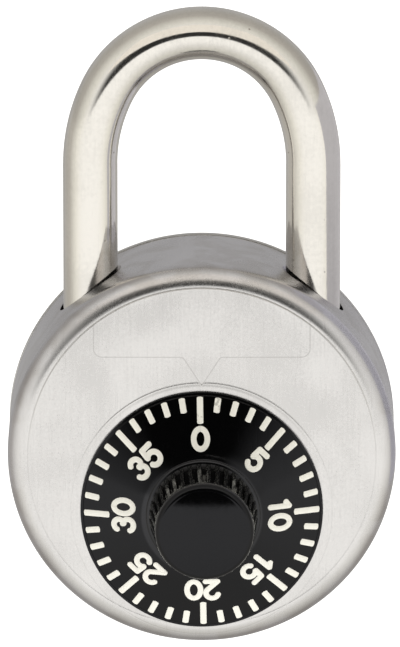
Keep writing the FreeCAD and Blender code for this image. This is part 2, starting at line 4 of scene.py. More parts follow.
import bmesh
import bpy
import numpy as np
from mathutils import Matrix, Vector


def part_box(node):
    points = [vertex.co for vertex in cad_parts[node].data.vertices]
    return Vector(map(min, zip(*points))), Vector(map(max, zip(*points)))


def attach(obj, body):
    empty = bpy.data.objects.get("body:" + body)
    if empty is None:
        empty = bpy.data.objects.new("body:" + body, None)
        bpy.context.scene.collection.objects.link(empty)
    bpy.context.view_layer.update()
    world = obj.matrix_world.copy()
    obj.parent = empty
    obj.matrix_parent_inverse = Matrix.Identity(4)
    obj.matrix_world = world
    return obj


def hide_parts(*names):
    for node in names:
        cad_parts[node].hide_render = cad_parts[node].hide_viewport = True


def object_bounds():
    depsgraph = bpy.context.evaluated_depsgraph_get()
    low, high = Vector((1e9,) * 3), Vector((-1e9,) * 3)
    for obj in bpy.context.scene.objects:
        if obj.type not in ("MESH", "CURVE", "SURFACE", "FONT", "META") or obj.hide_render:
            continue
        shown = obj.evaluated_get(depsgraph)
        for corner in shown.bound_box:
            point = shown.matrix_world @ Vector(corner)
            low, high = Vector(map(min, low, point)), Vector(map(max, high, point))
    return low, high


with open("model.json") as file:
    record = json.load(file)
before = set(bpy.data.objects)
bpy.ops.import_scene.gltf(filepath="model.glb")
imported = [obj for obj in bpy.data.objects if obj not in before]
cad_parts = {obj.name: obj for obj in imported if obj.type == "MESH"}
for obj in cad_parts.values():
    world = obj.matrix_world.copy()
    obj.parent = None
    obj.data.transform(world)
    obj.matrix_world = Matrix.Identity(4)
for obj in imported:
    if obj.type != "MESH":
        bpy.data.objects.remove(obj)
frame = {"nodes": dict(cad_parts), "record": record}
cad_bounds = [[float(value) for value in corner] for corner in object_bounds()]


# ---- Studio ---------------------------------------------------------------------------------------
# A white tent around the lock, with a dark opening in front where the camera looks in, and a pale
# floor well below it. The lock hangs by its bow, as it does on a hasp, so nothing touches the floor.

case_low, case_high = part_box("front_case")
case_up = (case_low.z + case_high.z) / 2
face_y = case_low.y

camera_elevation = math.radians(14.0)
camera_distance = 1.236
view_width = 0.055325  # metres across the camera's view, at the case's face
aim = np.array([-0.00024, face_y, case_up + 0.01924])
toward = np.array([0.0, math.cos(camera_elevation), -math.sin(camera_elevation)])
camera_data = bpy.data.cameras.new("camera")
camera_data.sensor_fit = "HORIZONTAL"
camera_data.sensor_width = 36.0
camera_data.lens = camera_data.sensor_width * camera_distance / view_width
camera_data.clip_end = 20.0
camera = bpy.data.objects.new("camera", camera_data)
bpy.context.scene.collection.objects.link(camera)
camera.location = aim - camera_distance * toward
camera.rotation_euler = (math.pi / 2 - camera_elevation, 0, 0)
bpy.context.scene.camera = camera
bpy.context.scene.view_settings.view_transform = "Standard"


def add_node(tree, kind, inputs=(), **settings):
    """Node of this kind, with its inputs linked or set: (name or number, socket or value)."""
    node = tree.nodes.new(kind)
    for name, value in settings.items():
        setattr(node, name, value)
    for name, value in inputs:
        if isinstance(value, bpy.types.NodeSocket):
            tree.links.new(value, node.inputs[name])
        else:
            node.inputs[name].default_value = value
    return node


def calculate(tree, operation, first, second=0.0, third=0.0):
    """Output of one Math node."""
    inputs = [(0, first), (1, second), (2, third)]
    return add_node(tree, "ShaderNodeMath", inputs, operation=operation).outputs[0]


def ramp_between(tree, value, low, high, start=0.0, stop=1.0):
    """Smooth step of a value from start at low to stop at high."""
    inputs = [("Value", value), ("From Min", low), ("From Max", high), ("To Min", start), ("To Max", stop)]
    return add_node(tree, "ShaderNodeMapRange", inputs, interpolation_type="SMOOTHSTEP").outputs[0]


world = bpy.data.worlds.new("tent")
bpy.context.scene.world = world
world.use_nodes = True
tree = world.node_tree
tree.nodes.clear()
direction = add_node(tree, "ShaderNodeTexCoord").outputs["Generated"]
side, depth, height = add_node(tree, "ShaderNodeSeparateXYZ", [(0, direction)]).outputs
front = calculate(tree, "MULTIPLY", depth, -1.0)
# around: the angle from the opening's middle, which lies 3 degrees aside of the front
around = calculate(tree, "ARCTAN2", side, front)
around = calculate(tree, "ABSOLUTE", calculate(tree, "ADD", around, math.radians(3)))
# the tent is white in front and falls off to a mid grey behind the lock
from_front = calculate(tree, "DIVIDE", calculate(tree, "ARCCOSINE", front), math.pi)
tent = add_node(tree, "ShaderNodeValToRGB", [("Fac", from_front)])
shades = [(0.0, (1.0, 0.985, 0.965)), (0.2, (0.97, 0.955, 0.93)), (0.28, (0.93, 0.91, 0.87)),
          (0.345, (0.86, 0.84, 0.78)), (0.43, (0.70, 0.68, 0.63)), (0.53, (0.5, 0.475, 0.44)),
          (0.64, (0.45, 0.43, 0.4)), (0.8, (0.475, 0.465, 0.455)), (1.0, (0.46, 0.452, 0.45))]
stops = tent.color_ramp.elements
for place, shade in shades:
    stop = stops.new(place) if 0 < place < 1 else stops[-int(place)]
    stop.color = (*shade, 1)
# above: how bright the tent is at each height, brightest in a band below the horizon
above = ramp_between(tree, height, -0.04, 0.06, 1.25, 1.07)
above = calculate(tree, "MINIMUM", above, ramp_between(tree, height, -0.9, -0.32, 0.95, 1.25))
# opening: the dark room behind the camera, from the horizon up to the front card
opening = ramp_between(tree, height, -0.05, 0.0)
opening = calculate(tree, "MULTIPLY", opening, ramp_between(tree, height, 0.66, 0.58))
opening = calculate(tree, "MULTIPLY", opening, ramp_between(tree, around, math.radians(44), math.radians(20)))
shade = calculate(tree, "SUBTRACT", 1.0, calculate(tree, "MULTIPLY", opening, 0.97))
# the tent is in its own shadow low down behind the lock
low_behind = calculate(tree, "MULTIPLY", ramp_between(tree, depth, 0.55, 0.9),
                       ramp_between(tree, height, 0.2, -0.02))
shade = calculate(tree, "SUBTRACT", shade, calculate(tree, "MULTIPLY", low_behind, 0.2))
background = add_node(tree, "ShaderNodeBackground", [
    ("Color", tent.outputs["Color"]), ("Strength", calculate(tree, "MULTIPLY", above, shade))])
add_node(tree, "ShaderNodeOutputWorld", [("Surface", background.outputs[0])])


def card(name, corners, colour, glow, seen=False):
    """Flat studio card between four corners, of paper lit from behind. It shows in reflections only,
    or, where it is seen, to the camera but not in reflections."""
    mesh = bpy.data.meshes.new(name)
    mesh.from_pydata(corners, [], [(0, 1, 2, 3)])
    item = bpy.data.objects.new(name, mesh)
    bpy.context.scene.collection.objects.link(item)
    material = bpy.data.materials.new(name + "_paper")
    material.use_nodes = True
    paper = material.node_tree.nodes["Principled BSDF"]
    paper.inputs["Base Color"].default_value = (*colour, 1)
    paper.inputs["Roughness"].default_value = 0.9
    paper.inputs["Specular IOR Level"].default_value = 0.1
    paper.inputs["Emission Color"].default_value = (*colour, 1)
    paper.inputs["Emission Strength"].default_value = glow
    mesh.materials.append(material)
    item.visible_camera = seen
    item.visible_glossy = not seen


# the front card stands above the opening, and the side card close beside the case
card_y = face_y - 0.15
card_half, card_low, card_high = 0.16, 0.056, 0.20
card("front_card", [(-card_half, card_y, card_low), (-card_half, card_y, card_high),
                    (card_half, card_y, card_high), (card_half, card_y, card_low)],
     (0.5, 0.475, 0.44), 1.3)
card("side_card", [(0.035, -0.0105, -0.062), (0.034, -0.0165, -0.004),
                   (0.044, 0.05, 0.012), (0.044, 0.05, -0.062)],
     (0.4, 0.395, 0.425), 0.75)
floor_up = cad_bounds[0][2] - 0.17
floor_half, floor_front, floor_back = 1.2, -1.5, 2.5
card("floor", [(-floor_half, floor_front, floor_up), (floor_half, floor_front, floor_up),
               (floor_half, floor_back, floor_up), (-floor_half, floor_back, floor_up)],
     (0.93, 0.93, 0.93), 0.9, seen=True)


# ---- Case -----------------------------------------------------------------------------------------
# The case is a cup drawn from stainless sheet and tumbled to a satin finish. Its face has a coined
# recess for the dial and thin coined lines for a name panel, whose point marks the number to read.

cover_low, cover_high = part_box("back_cover")
dial_low, dial_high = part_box("dial")
shackle_low, shackle_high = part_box("shackle")
case_radius = (case_high.x - case_low.x) / 2
case_wall = 0.0014
# the edge is four arcs that run into each other: (radius, lean of the surface in degrees at its end)
edge_arcs = [(0.0011, 7), (0.0026, 21), (0.0046, 36), (0.0025, 90)]
face_crown = 0.0003
dial_up = (dial_low.z + dial_high.z) / 2
dial_drop = case_up - dial_up
recess_radius = 0.0182
recess_depth = 0.00012
bushing_radius = 0.0045
bar_radius = 0.0038
leg_offset = shackle_high.x - bar_radius
leg_hole = 0.00425
case_count = 480


def mesh_piece(name, points, faces, material, sharp_angle=35.0):
    """Mesh object from arrays of points and faces, shaded smooth except at sharp angles."""
    mesh = bpy.data.meshes.new(name)
    mesh.from_pydata(points.reshape(-1, 3).tolist(), [], faces.tolist())
    mesh.update()
    piece = bpy.data.objects.new(name, mesh)
    bpy.context.scene.collection.objects.link(piece)
    mesh.materials.append(material)
    mesh.shade_smooth()
    mesh.set_sharp_from_angle(angle=math.radians(sharp_angle))
    return piece


def grid_faces(rows, columns, close_rows=False):
    """Quads between the points of a rows by columns grid, whose rows are rings."""
    row = np.arange(rows if close_rows else rows - 1)[:, None]
    column = np.arange(columns)[None, :]
    next_row = (row + 1) % rows
    next_column = (column + 1) % columns
    corners = [row * columns + column, row * columns + next_column,
               next_row * columns + next_column, next_row * columns + column]
    return np.stack(np.broadcast_arrays(*corners), axis=-1).reshape(-1, 4)


def eccentric_rings(rings, count):
    """Rings about the Y direction. Each ring is (centre height, radius, y), y a number or a function
    of the distance from the case's axis. A ring's points are (r sin t, y, centre + r cos t)."""
    turns = np.linspace(0, 2 * math.pi, count, endpoint=False)
    rows = []
    for centre, radius, y in rings:
        across = radius * np.sin(turns)
        up = centre + radius * np.cos(turns)
        along = y(np.hypot(across, up - case_up)) if callable(y) else np.full(count, y)
        rows.append(np.stack([across, along, up], axis=-1))
    return np.array(rows)


def smooth(value):
    """Smooth step from 0 to 1."""
    value = np.clip(value, 0, 1)
    return value * value * (3 - 2 * value)


def edge_curve():
    """Reach and depth along the edge: each arc adds radius times the change of the sine of its lean
    to the reach, and radius times the change of the cosine to the depth."""
    reach, depth, start = [0.0], [0.0], 0.0
    for radius, stop in edge_arcs:
        leans = np.radians(np.linspace(start, stop, 60))[1:]
        reach += list(reach[-1] + radius * (np.sin(leans) - math.sin(math.radians(start))))
        depth += list(depth[-1] + radius * (math.cos(math.radians(start)) - np.cos(leans)))
        start = stop
    return np.array(reach), np.array(depth)


edge_reaches, edge_depths = edge_curve()
edge_reach, case_edge = edge_reaches[-1], edge_depths[-1]


def rounded_face(distance):
    """y of the face at a distance d from the case's axis: crowned as crown (d / flat)^4 out to the
    flat's radius, then the curve of the edge to the side band."""
    flat = case_radius - edge_reach
    crowned = face_crown * (np.minimum(distance, flat) / flat) ** 4
    beyond = np.clip(distance - flat, 0, edge_reach)
    return face_y + crowned * (1 - beyond / edge_reach) + np.interp(beyond, edge_reaches, edge_depths)


def recessed(depth):
    """y of the face where the dial's recess lowers it to at least this depth."""
    return lambda distance: np.maximum(face_y + depth, rounded_face(distance))


def face_rings(share):
    """Centre and radius of a ring between the recess (share 0) and the case's outline (share 1)."""
    return case_up - dial_drop * (1 - share), recess_radius + (case_radius - recess_radius) * share


band_end = cover_low.y
inside_radius = case_radius - case_wall
recess_bevel = 0.0008
mouth_break, mouth_reach = 0.00004, 0.0002
ring_growth = case_radius - recess_radius + dial_drop
flat_share = (ring_growth - edge_reach) / ring_growth
shares = list(np.linspace(0.004, flat_share - 0.02, 26)) + list(np.linspace(flat_share, 0.985, 34))
shares += list(1 - 0.015 * np.cos(np.radians(np.linspace(10, 90, 6))))
rings = [(dial_up, radius, recessed(recess_depth))
         for radius in np.linspace(bushing_radius, recess_radius - recess_bevel, 16)]
rings += [(dial_up, recess_radius - recess_bevel * (1 - step), recessed(recess_depth * (1 - smooth(step))))
          for step in np.linspace(0, 1, 7)[1:]]
rings += [(*face_rings(share), rounded_face) for share in shares]
rings += [(case_up, case_radius, y) for y in np.linspace(face_y + case_edge, band_end, 30)[1:-1]]
rings += [(case_up, case_radius - mouth_break, band_end - mouth_break),
          (case_up, case_radius - mouth_reach, band_end)]
rings += [(case_up, inside_radius, y) for y in np.linspace(band_end, face_y + case_wall, 12)]
rings += [(dial_up, bushing_radius, face_y + case_wall)]
points = eccentric_rings(rings, case_count)

grain_groups = {}


def metal_grain():
    """Group: fine speckle, soft smudges and sparse hair scratches of a worked metal surface.

    Tint multiplies a colour, Rough is a roughness between its two inputs, Height feeds a bump."""
    if "metal_grain" in grain_groups:
        return grain_groups["metal_grain"]
    group = bpy.data.node_groups.new("metal_grain", "ShaderNodeTree")
    for socket, value in [("Speckle Size", 0.0003), ("Tint Depth", 0.06), ("Rough Low", 0.2),
                          ("Rough High", 0.35), ("Scratches", 0.5)]:
        new_input = group.interface.new_socket(socket, in_out="INPUT", socket_type="NodeSocketFloat")
        new_input.default_value = value
    for socket in ("Tint", "Rough", "Height"):
        group.interface.new_socket(socket, in_out="OUTPUT", socket_type="NodeSocketFloat")
    given = group.nodes.new("NodeGroupInput").outputs
    place = add_node(group, "ShaderNodeTexCoord").outputs["Object"]
    fine_scale = calculate(group, "DIVIDE", 1.0, given["Speckle Size"])
    fine = add_node(group, "ShaderNodeTexNoise", [
        ("Vector", place), ("Scale", fine_scale), ("Detail", 2.0), ("Roughness", 0.6)]).outputs[0]
    smudge = add_node(group, "ShaderNodeTexNoise", [
        ("Vector", place), ("Scale", 95.0), ("Detail", 2.5), ("Roughness", 0.45),
        ("Distortion", 0.4)]).outputs[0]
    drawn = add_node(group, "ShaderNodeMapping", [
        ("Vector", place), ("Rotation", (0.0, 0.03, 0.0)), ("Scale", (3200.0, 3200.0, 130.0))]).outputs[0]
    drawn = add_node(group, "ShaderNodeTexNoise", [
        ("Vector", drawn), ("Scale", 1.0), ("Detail", 2.0)]).outputs[0]
    scratch = 0.0
    for turn, seed in ((0.25, 3.0), (-0.7, 9.0), (1.2, 17.0)):
        along = add_node(group, "ShaderNodeMapping", [
            ("Vector", place), ("Location", (seed, seed, seed)), ("Rotation", (0.0, turn, 0.0)),
            ("Scale", (7000.0, 500.0, 330.0))]).outputs[0]
        hair = add_node(group, "ShaderNodeTexNoise", [
            ("Vector", along), ("Scale", 1.0), ("Detail", 0.0)]).outputs[0]
        patch = add_node(group, "ShaderNodeTexNoise", [
            ("Vector", along), ("Scale", 0.2), ("Detail", 0.0)]).outputs[0]
        hair = calculate(group, "MULTIPLY", ramp_between(group, hair, 0.70, 0.80),
                         ramp_between(group, patch, 0.52, 0.6))
        scratch = calculate(group, "ADD", scratch, hair)
    scratch = calculate(group, "MULTIPLY", scratch, given["Scratches"])
    uneven = calculate(group, "MULTIPLY_ADD", fine, 0.3, calculate(group, "MULTIPLY", drawn, 0.15))
    uneven = calculate(group, "MULTIPLY_ADD", smudge, 0.55, uneven)
    uneven = ramp_between(group, uneven, 0.38, 0.62)
    tint = calculate(group, "SUBTRACT", 1.0, calculate(group, "MULTIPLY", uneven, given["Tint Depth"]))
    tint = calculate(group, "SUBTRACT", tint, calculate(group, "MULTIPLY", scratch, 0.1))
    span = calculate(group, "SUBTRACT", given["Rough High"], given["Rough Low"])
    rough = calculate(group, "MULTIPLY_ADD", uneven, span, given["Rough Low"])
    lift = calculate(group, "MULTIPLY_ADD", fine, 0.35, calculate(group, "MULTIPLY", drawn, 0.25))
    lift = calculate(group, "SUBTRACT", lift, scratch)
    add_node(group, "NodeGroupOutput", [("Tint", tint), ("Rough", rough), ("Height", lift)])
    grain_groups["metal_grain"] = group
    return group


def place_group(tree, group, **inputs):
    """Instance of a node group in a material, with its values set by name."""
    node = tree.nodes.new("ShaderNodeGroup")
    node.node_tree = group
    for name, value in inputs.items():
        node.inputs[name.replace("_", " ")].default_value = value
    return node


def tinted(tree, colour, tint):
    """A colour multiplied by a tint value."""
    gray = add_node(tree, "ShaderNodeCombineColor", [(0, tint), (1, tint), (2, tint)]).outputs[0]
    mix = add_node(tree, "ShaderNodeMix", [("Factor", 1.0)], data_type="RGBA", blend_type="MULTIPLY")
    mix.inputs[6].default_value = (*colour, 1)
    tree.links.new(gray, mix.inputs[7])
    return mix.outputs[2]


def metal(name, colour, bump=0.00001, **grain):
    """Metal with the shared grain. Returns the material, its tree, its shader and its bump node."""
    material = bpy.data.materials.new(name)
    material.use_nodes = True
    tree = material.node_tree
    shader = tree.nodes["Principled BSDF"]
    shader.inputs["Metallic"].default_value = 1.0
    node = place_group(tree, metal_grain(), **grain)
    tree.links.new(tinted(tree, colour, node.outputs["Tint"]), shader.inputs["Base Color"])
    tree.links.new(node.outputs["Rough"], shader.inputs["Roughness"])
    raised = add_node(tree, "ShaderNodeBump", [
        ("Strength", 1.0), ("Distance", bump), ("Height", node.outputs["Height"])])
    tree.links.new(raised.outputs[0], shader.inputs["Normal"])
    return material, tree, shader, raised


case_material, tree, shader, grain_bump = metal(
    "case_stainless", (0.69, 0.682, 0.672), bump=0.0000028, Speckle_Size=0.0003, Tint_Depth=0.06,
    Rough_Low=0.22, Rough_High=0.29, Scratches=0.5)

# coined lines: distances in millimetres from the outline of the panel, from the dial's ring and from
# the flat's edge
panel_half, panel_low, panel_corner = 15.0, 14.4, 1.2
point_up, point_half = 10.35, 2.6
edge_line_radius, edge_line_width = 24.2, 0.14
line_width = 0.13
where = add_node(tree, "ShaderNodeTexCoord").outputs["Object"]
on_case = add_node(tree, "ShaderNodeMapping", [
    ("Vector", where), ("Location", (0, -1000 * face_y, -1000 * case_up)),
    ("Scale", (1000, 1000, 1000))]).outputs[0]
across, behind_face, up = add_node(tree, "ShaderNodeSeparateXYZ", [(0, on_case)]).outputs
wide = calculate(tree, "ABSOLUTE", across)
corner_across = calculate(tree, "SUBTRACT", wide, panel_half - panel_corner)
corner_up = calculate(tree, "SUBTRACT", panel_low + panel_corner, up)
corner = add_node(tree, "ShaderNodeCombineXYZ", [
    (0, calculate(tree, "MAXIMUM", corner_across, 0.0)),
    (1, calculate(tree, "MAXIMUM", corner_up, 0.0))]).outputs[0]
corner = add_node(tree, "ShaderNodeVectorMath", [(0, corner)], operation="LENGTH").outputs["Value"]
inner = calculate(tree, "MINIMUM", calculate(tree, "MAXIMUM", corner_across, corner_up), 0.0)
panel = calculate(tree, "SUBTRACT", calculate(tree, "ADD", corner, inner), panel_corner)
slope = point_half / (panel_low - point_up)
point_side = calculate(tree, "SUBTRACT", wide, calculate(tree, "MULTIPLY", calculate(
    tree, "SUBTRACT", up, point_up), slope))
pointer = calculate(tree, "MULTIPLY", point_side, 1 / math.hypot(1, slope))
pointer = calculate(tree, "MAXIMUM", pointer, calculate(tree, "SUBTRACT", up, panel_low + 1.0))
panel = calculate(tree, "SMOOTH_MIN", panel, pointer, 0.5)
from_dial = add_node(tree, "ShaderNodeCombineXYZ", [
    (0, across), (1, calculate(tree, "ADD", up, 1000 * dial_drop))]).outputs[0]
from_dial = add_node(tree, "ShaderNodeVectorMath", [(0, from_dial)], operation="LENGTH").outputs["Value"]
ring = calculate(tree, "SUBTRACT", from_dial, 1000 * recess_radius)
ring = calculate(tree, "SMOOTH_MAX", ring, calculate(tree, "MULTIPLY", panel, -1.0), 0.5)


def coined(tree, distance, width):
    """1 on a line where a distance is zero, falling to 0 at its width."""
    return ramp_between(tree, calculate(tree, "ABSOLUTE", distance), width, 0.0)


panel_line = calculate(tree, "MULTIPLY", coined(tree, panel, line_width), ramp_between(tree, up, 20.2, 18.2))
ring_line = calculate(tree, "MULTIPLY", coined(tree, ring, line_width),
                      ramp_between(tree, up, -2.0, 9.5, 0.22, 0.5))
from_axis = add_node(tree, "ShaderNodeCombineXYZ", [(0, across), (1, up)]).outputs[0]
from_axis = add_node(tree, "ShaderNodeVectorMath", [(0, from_axis)], operation="LENGTH").outputs["Value"]
from_edge = calculate(tree, "SUBTRACT", from_axis, edge_line_radius)
edge_line = calculate(tree, "MULTIPLY", coined(tree, from_edge, edge_line_width),
                      ramp_between(tree, up, -4.0, 12.0, 0.3, 1.0))
on_face = ramp_between(tree, behind_face, 0.9, 0.5)
lines = calculate(tree, "MAXIMUM", calculate(tree, "MAXIMUM", panel_line, ring_line), edge_line)
lines = calculate(tree, "MULTIPLY", lines, on_face)
# the panel's line is cut in the mesh below, so the bump is only for the ring's and the edge's lines
pressed = calculate(tree, "MULTIPLY", calculate(tree, "MAXIMUM", ring_line, edge_line), on_face)
line_bump = add_node(tree, "ShaderNodeBump", [
    ("Strength", 1.0), ("Distance", 0.00005), ("Height", calculate(tree, "SUBTRACT", 1.0, pressed)),
    ("Normal", grain_bump.outputs[0])])
tree.links.new(line_bump.outputs[0], shader.inputs["Normal"])
# painted shade: behind the face the edge and the band are darkened in their colour, mottled by soft stains
painted_side_shade = add_node(tree, "ShaderNodeMix", data_type="RGBA", blend_type="MULTIPLY")
tree.links.new(ramp_between(tree, behind_face, 0.3, 0.95), painted_side_shade.inputs[0])
tree.links.new(shader.inputs["Base Color"].links[0].from_socket, painted_side_shade.inputs[6])
stain = add_node(tree, "ShaderNodeTexNoise", [
    ("Vector", where), ("Scale", 170.0), ("Detail", 3.0), ("Roughness", 0.5), ("Distortion", 0.5)]).outputs[0]
painted_shade_and_stains = add_node(tree, "ShaderNodeMix", [(0, ramp_between(tree, stain, 0.44, 0.62))], data_type="RGBA")
painted_shade_and_stains.inputs[6].default_value = (0.865, 0.865, 0.905, 1)
painted_shade_and_stains.inputs[7].default_value = (0.76, 0.75, 0.765, 1)
tree.links.new(painted_shade_and_stains.outputs[2], painted_side_shade.inputs[7])
# painted shade: the coined lines are darkened in the case's colour, more towards the top, for the shade in
# their grooves
painted_line_shade = add_node(tree, "ShaderNodeMix", data_type="RGBA", blend_type="MIX")
tree.links.new(calculate(tree, "MULTIPLY", lines, 0.45), painted_line_shade.inputs[0])
tree.links.new(painted_side_shade.outputs[2], painted_line_shade.inputs[6])
painted_line_shade.inputs[7].default_value = (0.35, 0.34, 0.33, 1)
tree.links.new(painted_line_shade.outputs[2], shader.inputs["Base Color"])

case_faces = grid_faces(len(points), case_count, close_rows=True)[:, ::-1]
case_shell = mesh_piece("case_shell", points, case_faces, case_material)


def cut_away(piece, points, faces):
    """Subtract a closed solid, given as points and faces, from a piece."""
    tool_mesh = bpy.data.meshes.new("tool")
    tool_mesh.from_pydata(points.tolist(), [], faces)
    tool = bpy.data.objects.new("tool", tool_mesh)
    bpy.context.scene.collection.objects.link(tool)
    modifier = piece.modifiers.new("cut", "BOOLEAN")
    modifier.operation = "DIFFERENCE"
    modifier.object = tool
    evaluated = piece.evaluated_get(bpy.context.evaluated_depsgraph_get())
    cut_mesh = bpy.data.meshes.new_from_object(evaluated)
    piece.modifiers.clear()
    piece.data = cut_mesh
    bpy.data.objects.remove(tool)


def drill(across, radius, low, high, count=128):
    """Points and faces of a vertical round rod of radius r: (across + r cos t, r sin t)."""
    turns = np.linspace(0, 2 * math.pi, count, endpoint=False)
    circle = np.stack([across + radius * np.cos(turns), radius * np.sin(turns)], axis=-1)
    points = np.concatenate([np.c_[circle, np.full(count, low)], np.c_[circle, np.full(count, high)]])
    caps = [list(range(count - 1, -1, -1)), list(range(count, 2 * count))]
    return points, grid_faces(2, count).tolist() + caps


def eased_path(corners, step):
    """Path through corners (across, up, ease). Each inner corner is rounded by a parabola that
    starts and ends at its ease from the corner, and the path is divided evenly, about a step apart."""
    corners = np.array(corners)
    share = np.linspace(0, 1, 7)[:, None]
    rows = [corners[:1, :2]]
    for before, corner, after in zip(corners[:-2], corners[1:-1], corners[2:]):
        back = (before - corner)[:2] / np.linalg.norm((before - corner)[:2])
        on = (after - corner)[:2] / np.linalg.norm((after - corner)[:2])
        rows.append(corner[:2] + corner[2] * (back * (1 - share) ** 2 + on * share ** 2))
    path = np.concatenate(rows + [corners[-1:, :2]])
    length = np.r_[0, np.cumsum(np.hypot(*np.diff(path, axis=0).T))]
    fine = np.linspace(0, length[-1], int(length[-1] / step))
    return np.stack([np.interp(fine, length, path[:, axis]) for axis in (0, 1)], axis=-1), fine


def groove_tool(path, length, half, depth, ahead, taper):
    """Points and faces of a long wedge that cuts a V groove of this half width and depth along a
    path on the face. The wedge starts this far ahead of the face. Its depth grows from a twentieth
    over the taper's length at both ends."""
    way = np.gradient(path, axis=0)
    way /= np.linalg.norm(way, axis=1)[:, None]
    normal = np.stack([-way[:, 1], way[:, 0]], axis=-1)
    face = rounded_face(np.hypot(path[:, 0], path[:, 1]))
    share = np.clip(np.minimum(length, length[-1] - length) / taper, 0.05, 1)
    rows = []
    wide = half * (1 + ahead / depth)
    for reach, along in ((-wide, -ahead), (wide, -ahead), (0, depth)):
        flat = path + reach * normal
        sunk = np.where(along > 0, along * share, along + depth * (share - 1))
        rows.append(np.stack([flat[:, 0], face + sunk, case_up + flat[:, 1]], axis=-1))
    points = np.stack(rows, axis=1)
    count = len(path)
    faces = grid_faces(count, 3).tolist() + [[2, 1, 0], [3 * count - 3, 3 * count - 2, 3 * count - 1]]
    return points.reshape(-1, 3), faces


for across_leg in (leg_offset, -leg_offset):
    cut_away(case_shell, *drill(across_leg, leg_hole, case_up, case_high.z + 0.01))
# each half of the panel's line is one groove, from the side down, across and along the point
panel_top, point_corner, point_gap, point_stop = 20.0, 0.4, 0.32, 0.5
groove = {"half": 0.00015, "depth": 0.00012, "ahead": 0.00005, "taper": 0.0008}
for way in (-1, 1):
    panel_corners = [(way * panel_half, panel_top, 0), (way * panel_half, panel_low, panel_corner),
                     (way * point_half, panel_low, point_corner), (way * point_gap, point_up + point_stop, 0)]
    panel_path, panel_length = eased_path(np.array(panel_corners) / 1000, 0.0003)
    cut_away(case_shell, *groove_tool(panel_path, panel_length, **groove))
case_shell.data.set_sharp_from_angle(angle=math.radians(32))
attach(case_shell, "case")
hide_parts("front_case")


# ---- Back cover -----------------------------------------------------------------------------------
# The cover is a stainless disc pressed into the open end of the case. Its lip is rolled over the
# case's end, stands slightly proud of the band and leaves a fine groove in front of it.

cover_radius = (cover_high.x - cover_low.x) / 2
lip_edge = 0.0008
lip_turns = np.radians(np.linspace(0, 90, 12))
plug_y = cover_high.y - 0.0014
plug_radius = inside_radius - 0.0001
step_y = cover_high.y - 0.00015
# the plug and the groove under the lip, the lip's round, the shallow step and the flat back
profile = [(0.0, plug_y), (plug_radius, plug_y), (plug_radius, band_end + 0.00005),
           (cover_radius - 0.00025, band_end + 0.00005), (cover_radius - 0.00005, band_end + 0.00012),
           (cover_radius, band_end + 0.00025)]
profile += [(cover_radius - lip_edge * (1 - math.cos(turn)), cover_high.y - lip_edge * (1 - math.sin(turn)))
            for turn in lip_turns]
profile += [(cover_radius - 0.0016, cover_high.y), (cover_radius - 0.0019, step_y),
            (cover_radius - 0.0024, step_y), (cover_radius - 0.0027, cover_high.y)]
profile += [(radius, cover_high.y) for radius in np.linspace(cover_radius - 0.0029, 0, 24)]


def turned(name, profile, centre_up, material, count):
    """Surface of revolution about the Y direction of a profile of (radius, y) points, which starts
    and ends on the axis. A point is (r sin t, y, centre + r cos t)."""
    turns = np.linspace(0, 2 * math.pi, count, endpoint=False)
    radii, heights = np.array(profile).T
    points = np.stack([radii[:, None] * np.sin(turns), np.broadcast_to(heights[:, None], (len(radii), count)),
                       centre_up + radii[:, None] * np.cos(turns)], axis=-1)
    piece = mesh_piece(name, points, grid_faces(len(profile), count), material)
    weld_poles(piece.data)
    return piece


def weld_poles(mesh):
    """Merge the points that lie on each other and turn every face outwards."""
    work = bmesh.new()
    work.from_mesh(mesh)
    bmesh.ops.remove_doubles(work, verts=work.verts, dist=1e-7)
    bmesh.ops.recalc_face_normals(work, faces=work.faces)
    work.to_mesh(mesh)
    work.free()
    mesh.update()


cover_material, *_ = metal(
    "cover_stainless", (0.62, 0.615, 0.60), bump=0.000006, Speckle_Size=0.00035, Tint_Depth=0.1,
    Rough_Low=0.26, Rough_High=0.4, Scratches=0.8)
cover_disc = turned("cover_disc", profile, case_up, cover_material, case_count)
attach(cover_disc, "case")
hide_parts("back_cover")


# ---- Shackle --------------------------------------------------------------------------------------
# The shackle is one round bar bent to a bow and plated with bright nickel. The heel leg is long and
# grooved for its ring, and the toe leg is short, with a notch and a ramp for the locking lever.

crown_bend, side_bend = 0.0146, 0.0237
leg_chamfer = 0.0008
groove_low, groove_high, groove_radius = case_up - 0.0106, case_up - 0.0098, 0.0031
notch_low, notch_high, notch_depth, ramp_depth = case_up + 0.0146, case_up + 0.0166, 0.0015, 0.0009
side_turn = math.acos((side_bend - leg_offset) / (side_bend - crown_bend))
crown_up = shackle_high.z - bar_radius - crown_bend
leg_top = crown_up - (side_bend - crown_bend) * math.sin(side_turn)
toe_end = case_up + 0.0115
section_count = 96
crown_thinning, crown_reach = 0.035, 0.012


def leg_heights(end, steps):
    """Heights up a straight leg, close together at its chamfered end and on both sides of each step."""
    close = [end, end + leg_chamfer] + [step + gap for step in steps for gap in (-0.00001, 0.00001)]
    fine_to = end + 0.006
    fine = np.linspace(end, fine_to, 24)
    coarse = np.linspace(fine_to, leg_top, 60, endpoint=False)
    return np.unique(np.r_[fine, coarse, close])


